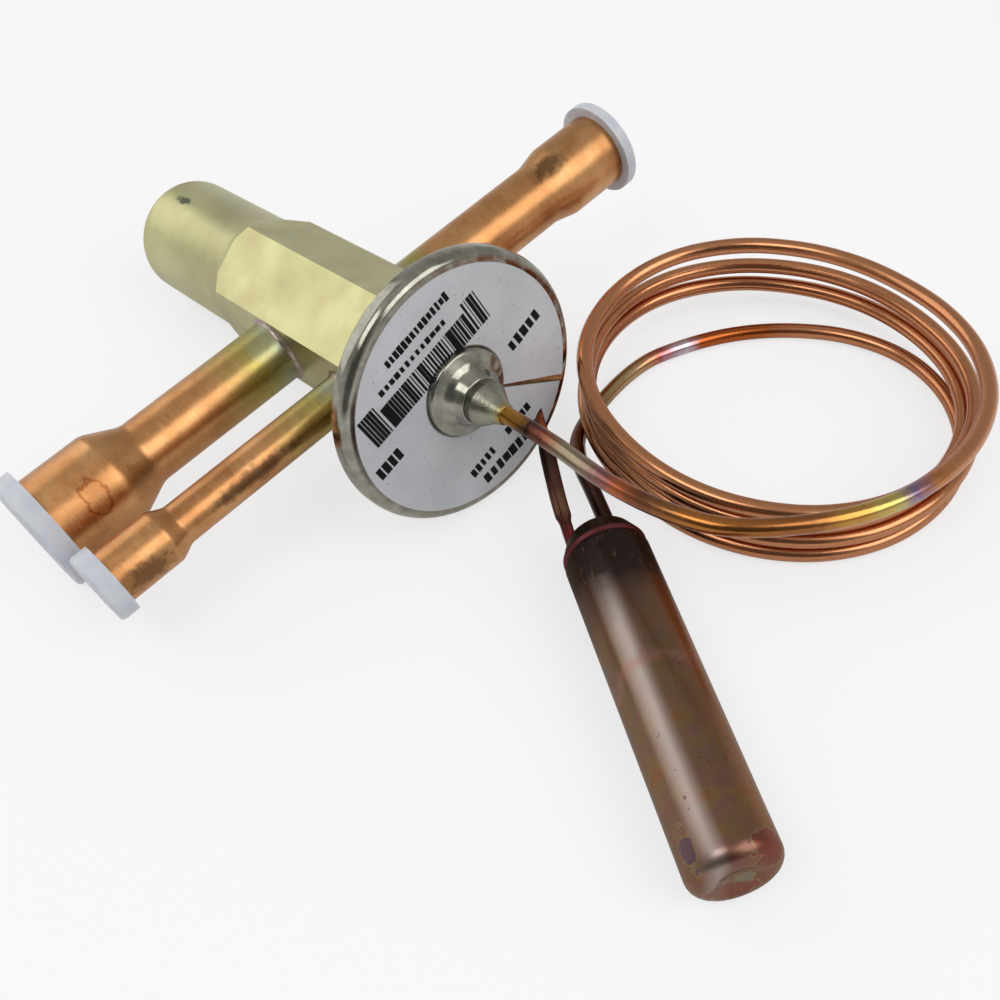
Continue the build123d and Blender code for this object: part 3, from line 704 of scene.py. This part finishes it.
class VALVE_OT_head(bpy.types.Operator):
    """Pressed head with its hat and brazed nose"""
    bl_idname = "valve.head"
    bl_label = "Diaphragm head"

    def execute(self, context):
        steel = pressed_steel()
        # Cover: underside, hat that flares up to its boss, flat front under the label and rolled rim.
        outline = [(20.0, 0.0), (19.0, -1.4), (7.3, -1.4), (4.3, -6.0), (1.0, -6.0), (1.0, -7.0), (4.1, -7.0),
                   (5.2, -4.6), (7.7, -3.4), (7.9, -2.4)]
        outline = round_corners(outline, {6: 0.3, 7: 3.0, 8: 0.6, 9: 0.15}, 8)
        rim_r, roll_out, roll_up, edge = 24.0, 1.6, 1.9, 0.5
        for step in range(11):
            angle = math.radians(90 - 9 * step)
            outline.append((rim_r - roll_out + roll_out * math.cos(angle), -edge - roll_up * math.sin(angle)))
        outline.append((rim_r, 0.0))
        vertices, faces = revolved(outline, VALVE, 144)
        make_piece("head_front", vertices, faces, steel, "valve", ["head_cover"], 40)
        smooth_copy("head_back", "head_base", steel, "valve")
        # Boss: short straight side, blunt cone, and the braze that ran down to the capillary.
        outline = [(0.0, -6.9), (3.9, -6.9), (3.85, -8.5), (2.2, -11.3), (1.75, -13.1), (0.0, -13.3)]
        outline = round_corners(outline, {2: 0.6, 3: 1.2, 4: 0.3}, 8)

        def run_down(point):
            """The braze leans a little downwards and isn't quite round."""
            lean = 0.05 * max(0.0, -9.0 - point.y)
            return Vector((point.x * (1 + 0.03 * math.sin(point.y * 2.1)), point.y, point.z - lean))

        vertices, faces = revolved(outline, VALVE, 72, closed=False, shape=run_down)
        make_piece("head_nose", vertices, faces, brazed_nose(), "valve", ["capillary_boss"], 35)
        return {"FINISHED"}


class VALVE_OT_label(bpy.types.Operator):
    """Foil label with a band of bars and plain blocks in place of its wording"""
    bl_idname = "valve.label"
    bl_label = "Head label"

    def execute(self, context):
        sizes = context.scene.valve_sizes
        inner, outer, front, back = 8.2, 21.9, -2.56, -2.4
        slit = math.radians(-32.5)
        half_in, half_out = 0.35 / inner, 0.7 / outer       # half the slit at each edge, in radians
        end_lift, lifted_steps, steps = 0.18, 5, 180
        vertices, faces = [], []
        for step in range(steps + 1):
            share = step / steps
            start = slit + half_in + (2 * math.pi - 2 * half_in) * share
            finish = slit + half_out + (2 * math.pi - 2 * half_out) * share
            lift = end_lift * math.exp(-step / lifted_steps)
            for radius, angle, part in ((inner, start, 1.0), (outer, finish, 0.4)):
                x, z = radius * math.cos(angle), radius * math.sin(angle)
                vertices += [Vector((x, depth - lift * part, z)) for depth in (front, back)]
        for step in range(steps):
            a, b = 4 * step, 4 * step + 4
            faces += [(a, b, b + 2, a + 2), (a + 1, a + 3, b + 3, b + 1),
                      (a, a + 1, b + 1, b), (a + 2, b + 2, b + 3, a + 3)]
        last = 4 * steps
        faces += [(0, 2, 3, 1), (last, last + 1, last + 3, last + 2)]
        vertices = [VALVE @ (v * MM) for v in vertices]
        foil = label_foil(sizes.label)
        make_piece("foil_label", vertices, faces, foil, "valve", ["head_label"])

        ink = plain_finish("printing_ink", "#08080A", "#121215", 0.6, 0.0, Specular_IOR_Level=0.15)
        tree, identifiers = bars_tree(ink)
        # Each row: left end and right end of its middle line, height, bars, thin, wide, ragged, seed.
        rows = [
            ((-18.7, 5.85), (-14.8, 6.75), 6.5, 6, 0.25, 1.0, 0.0, 3),
            ((-14.4, 6.0), (5.8, 10.8), 4.9, sizes.bar_count, 0.2, 1.25, 0.0, 5),
            ((5.9, 11.65), (9.35, 12.45), 6.5, 5, 0.25, 1.0, 0.0, 9),
            ((-13.6, 10.8), (2.2, 14.4), 1.3, 13, 0.5, 0.85, 0.3, 13),
            ((-10.6, 14.5), (4.1, 18.1), 1.9, 15, 0.45, 0.9, 0.35, 11),
            ((-19.9, -2.1), (-14.2, -0.8), 2.4, 4, 0.6, 0.85, 0.0, 5),
            ((11.4, 1.2), (19.2, 3.7), 2.4, 5, 0.55, 0.85, 0.2, 8),
            ((-4.6, -15.9), (1.6, -14.2), 2.0, 5, 0.5, 0.85, 0.2, 21),
            ((4.8, -13.3), (11.2, -11.6), 2.0, 5, 0.5, 0.85, 0.2, 26),
            ((-2.5, -18.9), (12.6, -16.1), 2.3, 9, 0.6, 0.95, 0.2, 34),
        ]
        # The tree draws in its own XY plane; that plane is laid just clear of the label's face.
        flat = Matrix(((1, 0, 0), (0, 0, -1), (0, 1, 0))).to_4x4()
        clear = 0.012
        merged = bmesh.new()
        for left, right, height, count, thin, wide, uneven, seed in rows:
            start, along = Vector(left), Vector(right) - Vector(left)
            mesh = grown(tree, identifiers, Length=along.length * MM, Height=height * MM, Count=count,
                         Thin=thin, Wide=wide, Ragged=uneven, Seed=seed)
            place = VALVE @ Matrix.Translation(MM * Vector((start.x, front - clear, start.y)))
            mesh.transform(place @ flat @ Matrix.Rotation(math.atan2(along.y, along.x), 4, "Z"))
            merged.from_mesh(mesh)
            bpy.data.meshes.remove(mesh)
        printed = bpy.data.meshes.new("label_print")
        merged.to_mesh(printed)
        merged.free()
        printed.materials.append(ink)
        settle(link(bpy.data.objects.new("label_print", printed)), "valve")
        return {"FINISHED"}


class VALVE_OT_stubs(bpy.types.Operator):
    """Copper stubs with their braze fillets"""
    bl_idname = "valve.stubs"
    bl_label = "Copper stubs"

    def execute(self, context):
        leg = context.scene.valve_sizes.braze_leg / MM
        facet = HEX_FLATS / 2
        sunk = 0.02                 # how far a fillet reaches into the tube and the facet
        braze = silver_braze()
        coppers = {
            "outlet": drawn_copper("outlet_copper", 30.0, ring=((-54.3, 31.2, 4.2), (2.2, 3.4, 3.2))),
            "equaliser": drawn_copper("equaliser_copper", 31.0, smokes=(
                ((-34.0, 13.6, 1.0), (11.0, 1.6, 1.9)), ((-57.0, 12.4, 0.0), (6.0, 2.6, 2.6)))),
            "inlet": drawn_copper("inlet_copper", 23.0, smokes=(((46.5, 24.0, 6.4), (5.0, 3.0, 2.2)),)),
        }
        # Distances from the stem: root of the inlet stub, start and end of its swage, mouth.
        solid_at, shown_at = (11.0, 44.4, 46.8, INLET_REACH), (11.0, 45.0, 49.6, INLET_REACH)

        def long_swage(point):
            """The inlet widens over a longer stretch, a little farther out than the solid's."""
            if point.x <= solid_at[0]:
                return point
            return Vector((float(np.interp(point.x, solid_at, shown_at)), point.y, point.z))

        for name, copper in coppers.items():
            shape = long_swage if name == "inlet" else None
            smooth_copy(name + "_stub", name + "_tube", copper, "valve", shape)
        for name, (station, side, tube) in STUBS.items():
            wander = random.Random(int(station * 10))
            phases = [wander.uniform(0, 6.28) for _ in range(3)]
            turn = Matrix.Rotation(-side * math.pi / 2, 4, "Z")
            place = VALVE @ Matrix.Translation((0, station * MM, 0)) @ turn
            outline = [(tube - sunk, facet - sunk), (tube + leg, facet - sunk),
                       (tube + 0.45 * leg, facet + 0.3 * leg), (tube - sunk, facet + leg)]
            outline = round_corners(outline, {2: 0.9 * leg}, 6)

            def ripple(point):
                """Waves froze in the braze, on its outside and along its upper edge."""
                angle = math.atan2(point.z, point.x)
                outside = math.hypot(point.x, point.z) > tube + 0.01
                swell = 0.012 * math.sin(3 * angle + phases[0]) + 0.008 * math.sin(7 * angle + phases[1])
                grow = 1 + swell * outside
                rise = 0.12 * (point.y > facet) * math.sin(5 * angle + phases[2]) * leg
                return Vector((point.x * grow, point.y + rise, point.z * grow))

            vertices, faces = revolved(outline, place, 96, shape=ripple)
            make_piece(name + "_fillet", vertices, faces, braze, "valve",
                       [name + "_braze"], 50)
        return {"FINISHED"}


class VALVE_OT_caps(bpy.types.Operator):
    """Milky transport caps, each on its own body"""
    bl_idname = "valve.caps"
    bl_label = "Transport caps"

    def execute(self, context):
        milky = milky_polythene(context.scene.valve_sizes.caps)
        for name in STUBS:
            smooth_copy(name + "_bung", name + "_cap", milky, name + "_cap")
        return {"FINISHED"}


# The loose coil: how far the wire lies from the middle at each eighth of its turns, and its height at each
# quarter. The turns hang on each other at the front and slide apart at the back.
COIL_MIDDLE = (47.8, -71.0)
COIL_TURNS = 4.6875
COIL_START = -147                   # degrees from +X where the lead comes in
COIL_REACH = (
    49.6, 41.0, 32.0, 26.2, 28.0, 34.2, 35.3, 31.4,
    30.3, 32.5, 33.8, 32.5, 34.8, 37.6, 35.2, 30.4,
    29.8, 31.2, 32.4, 32.2, 33.8, 37.0, 35.2, 30.4,
    29.8, 32.2, 34.4, 35.2, 38.0, 40.2, 36.0, 30.6,
    29.8, 32.2, 33.2, 31.2, 26.6, 27.4, 34.4, 35.6,
)
COIL_HEIGHT = (
    30.5, 23.6, 20.0, 16.7,
    12.9, 11.2, 10.2, 11.1,
    8.9, 7.7, 6.5, 8.1,
    5.4, 4.7, 3.3, 5.0,
    1.9, 1.7, 1.6, 1.6, 1.6,
)


def eased(values, place):
    """A smooth value at a place between evenly spaced ones, passing through each of them."""
    index = min(int(place), len(values) - 2)
    share = place - index
    before, here, there, after = (values[min(max(index + k, 0), len(values) - 1)] for k in (-1, 0, 1, 2))
    return here + 0.5 * share * (there - before + share * (
        2 * before - 5 * here + 4 * there - after + share * (3 * here - before - 3 * there + after)))


def coil_route(steps):
    """Points of the loose turns, from the front of the coil."""
    made = []
    for step in range(int(round(COIL_TURNS * steps)) + 1):
        turn = step / steps
        angle = math.radians(COIL_START + 360 * turn)
        # The spline runs inside its points, so they stand a little farther out.
        reach = eased(COIL_REACH, turn * 8) / math.cos(math.pi / steps)
        made.append((COIL_MIDDLE[0] + reach * math.cos(angle), COIL_MIDDLE[1] + reach * math.sin(angle),
                     eased(COIL_HEIGHT, turn * 4)))
    return made


class VALVE_OT_capillary(bpy.types.Operator):
    """Capillary from the nose of the head, through its loose coil, to the neck of the bulb"""
    bl_idname = "valve.capillary"
    bl_label = "Capillary"

    def execute(self, context):
        sizes = context.scene.valve_sizes
        lead = [(1.25, -49.93, 25.44), (1.25, -62.3, 27.2), (-0.5, -76.0, 29.2), (1.0, -89.0, 30.2)]
        tail = [(22.3, -44.4, 1.6), (15.0, -52.6, 4.2), (10.0, -62.0, 7.3), (4.5, -72.6, 7.3)]
        line = smooth_line(lead + coil_route(sizes.coil_steps) + tail)
        radius = sizes.capillary / 2 / MM

        def round_section(distance, share, angle):
            return radius * math.cos(angle), radius * math.sin(angle), 0.0

        vertices, faces, runs, length = tube_along(line, round_section, 20)
        # Tints by distance from the nose, then by distance back from the bulb.
        stops = [
            (0, "#C99236"), (5, "#BC863A"), (6.5, "#3E2A30"), (12, "#3A2830"), (13, "#A8684C"),
            (14.5, "#8C7C60"), (19, "#9C927A"), (23.5, "#8E7E6C"), (26.5, "#8A4C58"), (30, "#B8683C"),
            (34, "#7A4C38"), (36.5, "#5A463C"), (40, "#B4743A"), (49, "#A86C38"), (60, "#96603A"),
            (64, "#BC8A44"), (70, "#C49C54"), (73, "#C8C070"), (75, "#9CB4A4"), (76.5, "#8A6A94"),
            (78, "#C0783C"), (84, "#C4875F")]
        stops += [(length - back, tone) for back, tone in (
            (87, "#C4875F"), (81, "#B0602E"), (67, "#B05A2C"), (64, "#CACAD8"), (61, "#A8707C"),
            (58, "#B8562C"), (54, "#B8A078"), (43, "#A48A60"), (37, "#6E4636"), (0, "#3A2828"))]
        copper = tinted_capillary("tinted_capillary", VALVE, stops, length)
        piece = make_piece("capillary", vertices, faces, copper, "valve",
                           ["capillary_lead", "capillary_coil", "capillary_tail"], 50, recalculate=False)
        store_run(piece, runs)
        return {"FINISHED"}


class VALVE_OT_bulb(bpy.types.Operator):
    """Sensing bulb with its neck and pinched charge tube"""
    bl_idname = "valve.bulb"
    bl_label = "Sensing bulb"

    def execute(self, context):
        # Dished end, long side, seam bead and the dome of the neck.
        wall, seam, neck = BULB_R, BULB_LONG, BULB_LONG + 6.0
        outline = [(0.0, 0.75), (2.2, 0.65), (3.9, 0.12), (wall, 0.0), (wall, 8.0), (wall, 30.0),
                   (wall, seam - 0.9), (wall - 0.28, seam - 0.1), (wall - 0.05, seam + 0.75),
                   (5.7, seam + 3.9), (3.2, neck), (0.0, neck + 0.1)]
        rounds = {1: 3.0, 2: 3.0, 3: 2.7, 6: 0.5, 7: 0.35, 8: 0.8, 9: 3.0, 10: 2.0}
        wander = random.Random(12)
        dents = [(wander.uniform(-1, 1), wander.uniform(6, 50), wander.uniform(0.02, 0.05)) for _ in range(9)]

        def knocked(point):
            """Shallow dents along the upper side."""
            angle = math.atan2(point.z, point.x)
            grow = 1.0
            for swing, along, depth in dents:
                gap = math.hypot(angle - math.pi / 2 - swing * 2.0, (point.y - along) / 5.0)
                grow -= depth / BULB_R * math.exp(-gap * gap * 6)
            return Vector((point.x * grow, point.y, point.z * grow))

        vertices, faces = revolved(round_corners(outline, rounds, 7), BULB, 96, closed=False, shape=knocked)
        make_piece("sensing_bulb", vertices, faces, torched_bulb(), "valve",
                   ["bulb_shell", "bulb_neck"], 50)
        route = [(-1.6, -69.4, 7.3), (0.7, -65.2, 7.6), (4.7, -57.9, 10.0), (12.4, -46.2, 14.4)]
        line = smooth_line(route, 14)

        def pinched(distance, share, angle):
            """Round out of the neck, then flattened by the pliers and nipped off to a narrow tip."""
            flat = min(1.0, max(0.0, (distance - 6.5) / 1.2))
            tip = max(0.0, (share - 0.72) / 0.28)
            wide = 1.05 + 0.35 * flat - 0.75 * tip
            high = 1.05 - 0.2 * flat - 0.35 * tip
            slant = 0.8 * math.cos(angle) if share > 0.999 else 0.0
            return wide * math.cos(angle), high * math.sin(angle), slant

        vertices, faces, runs, length = tube_along(line, pinched, 24)
        # Tints by distance from the neck. The orange band 2.5 mm short of the tip is a painted highlight on the
        # pinched end.
        stops = [
            (0, "#3A2828"), (2, "#5A3434"), (4, "#8A3A34"), (6, "#5A3430"), (9, "#7E5A48"), (14, "#5E4038"),
            (length - 9, "#402C2A"), (length - 5, "#4C3430"), (length - 2.5, "#A8562E"), (length, "#4A302A")]
        copper = tinted_capillary("pinched_copper", BULB, stops, length)
        stub = make_piece("charge_stub", vertices, faces, copper, "valve",
                          ["charge_tube"], 45, recalculate=False)
        store_run(stub, runs)
        return {"FINISHED"}


class VALVE_OT_stage(bpy.types.Operator):
    """Pale floor, soft studio lights and the camera"""
    bl_idname = "valve.stage"
    bl_label = "Studio"

    def execute(self, context):
        scene = context.scene
        half = 3                    # half the floor's side, in metres
        mesh = bpy.data.meshes.new("floor")
        mesh.from_pydata([(-half, -half, 0), (half, -half, 0), (half, half, 0), (-half, half, 0)],
                         [], [(0, 1, 2, 3)])
        floor = link(bpy.data.objects.new("floor", mesh))
        pale = bpy.data.materials.new("pale_floor")
        pale.use_nodes = True
        tree = pale.node_tree
        tree.nodes.clear()
        matt = add(tree, "ShaderNodeBsdfDiffuse", ("#F2F2F3",))
        white = add(tree, "ShaderNodeEmission", ("#FFFFFF", 1.0))
        rays = add(tree, "ShaderNodeLightPath").outputs
        # The floor glows white to the eye and through clear things, a little of it in metal, and
        # lights nothing else, so that it keeps the valve's shadow.
        share = 0.0
        for ray, part in (("Is Camera Ray", 0.7), ("Is Transmission Ray", 0.7), ("Is Glossy Ray", 0.1)):
            share = add(tree, MATH, (rays[ray], part, share), operation="MULTIPLY_ADD")
        add(tree, "ShaderNodeOutputMaterial", (add(tree, "ShaderNodeMixShader", (share, matt, white)),))
        mesh.materials.append(pale)

        world = bpy.data.worlds.new("studio")
        scene.world = world
        world.use_nodes = True
        tree = world.node_tree
        tree.nodes.clear()
        direction = add(tree, "ShaderNodeTexCoord").outputs["Generated"]
        up = add(tree, SPLIT, (direction,)).outputs["Z"]
        room = add(tree, RAMP, (up,), [(0.0, 0.62), (0.3, 0.48), (0.7, 0.42), (1.0, 0.56)])
        # The dim side of the room, behind the camera, which polished steel shows as dark bands.
        facing = add(tree, VECTOR_MATH, (direction, (-0.77, -0.54, 0.34)), operation="DOT_PRODUCT")
        room = layered(tree, room, ((facing, 0.68, 0.9, 0.0, 0.9), "#505050"))
        add(tree, "ShaderNodeOutputWorld", (add(tree, "ShaderNodeBackground", (room, 1.0)),))

        # Softboxes: azimuth and elevation they stand at, width and height in metres, and watts.
        aimed_at, stand_off = Vector((0, -0.06, 0.01)), 0.85
        for name, turn, rise, wide, high, power in (
            ("back_left", 108, 29, 0.72, 0.65, 1.5),
            ("front_right", -70, 46, 0.62, 0.62, 2.7),
            ("front_left", 178, 60, 0.5, 0.36, 1.4),
        ):
            lamp = bpy.data.lights.new(name, "AREA")
            lamp.shape = "RECTANGLE"
            lamp.size, lamp.size_y, lamp.energy = wide, high, power
            holder = link(bpy.data.objects.new(name, lamp))
            turn, rise = math.radians(turn), math.radians(rise)
            away = Vector((math.cos(turn) * math.cos(rise), math.sin(turn) * math.cos(rise), math.sin(rise)))
            holder.location = stand_off * away + aimed_at
            holder.rotation_euler = away.to_track_quat("Z", "Y").to_euler()

        # The camera: focal length and middle of the view in pixels of the frame, then its place and its turn.
        pixels, focal, middle = 1000, 1229.3, (567.0, 566.24)
        stands_at = MM * Vector((-83.706, -168.679, 164.817))
        right, down = Vector((0.720857, -0.68973, -0.0681)), Vector((-0.571063, -0.535394, -0.622286))
        eye = bpy.data.cameras.new("camera")
        eye.sensor_width = 36.0
        eye.lens = focal / pixels * eye.sensor_width
        eye.shift_x = (pixels / 2 - middle[0]) / pixels
        eye.shift_y = (middle[1] - pixels / 2) / pixels
        eye.clip_start = 0.01
        turn = Matrix((right, -down, -right.cross(down))).transposed().to_4x4()
        camera = link(bpy.data.objects.new("camera", eye))
        camera.matrix_world = Matrix.Translation(stands_at) @ turn
        scene.camera = camera
        scene.view_settings.view_transform = "Standard"
        return {"FINISHED"}


class VALVE_PT_panel(bpy.types.Panel):
    """Buttons for every piece"""
    bl_label = "Expansion valve"
    bl_space_type = "VIEW_3D"
    bl_region_type = "UI"
    bl_category = "Valve"

    def draw(self, context):
        sizes = context.scene.valve_sizes
        for name in sizes.bl_rna.properties.keys():
            if name not in ("rna_type", "name"):
                self.layout.prop(sizes, name)
        for operator in OPERATORS:
            self.layout.operator(operator.bl_idname)


OPERATORS = (VALVE_OT_stage, VALVE_OT_body, VALVE_OT_head, VALVE_OT_label, VALVE_OT_stubs, VALVE_OT_caps,
             VALVE_OT_bulb, VALVE_OT_capillary)
CLASSES = (ValveSizes, *OPERATORS, VALVE_PT_panel)


def register():
    for one in CLASSES:
        bpy.utils.register_class(one)
    bpy.types.Scene.valve_sizes = bpy.props.PointerProperty(type=ValveSizes)


def unregister():
    del bpy.types.Scene.valve_sizes
    for one in reversed(CLASSES):
        bpy.utils.unregister_class(one)


def main():
    register()
    bpy.ops.valve.stage()
    bpy.ops.valve.body()
    bpy.ops.valve.head()
    bpy.ops.valve.label()
    bpy.ops.valve.stubs()
    bpy.ops.valve.caps()
    bpy.ops.valve.bulb()
    bpy.ops.valve.capillary()


if __name__ == "__main__":
    main()
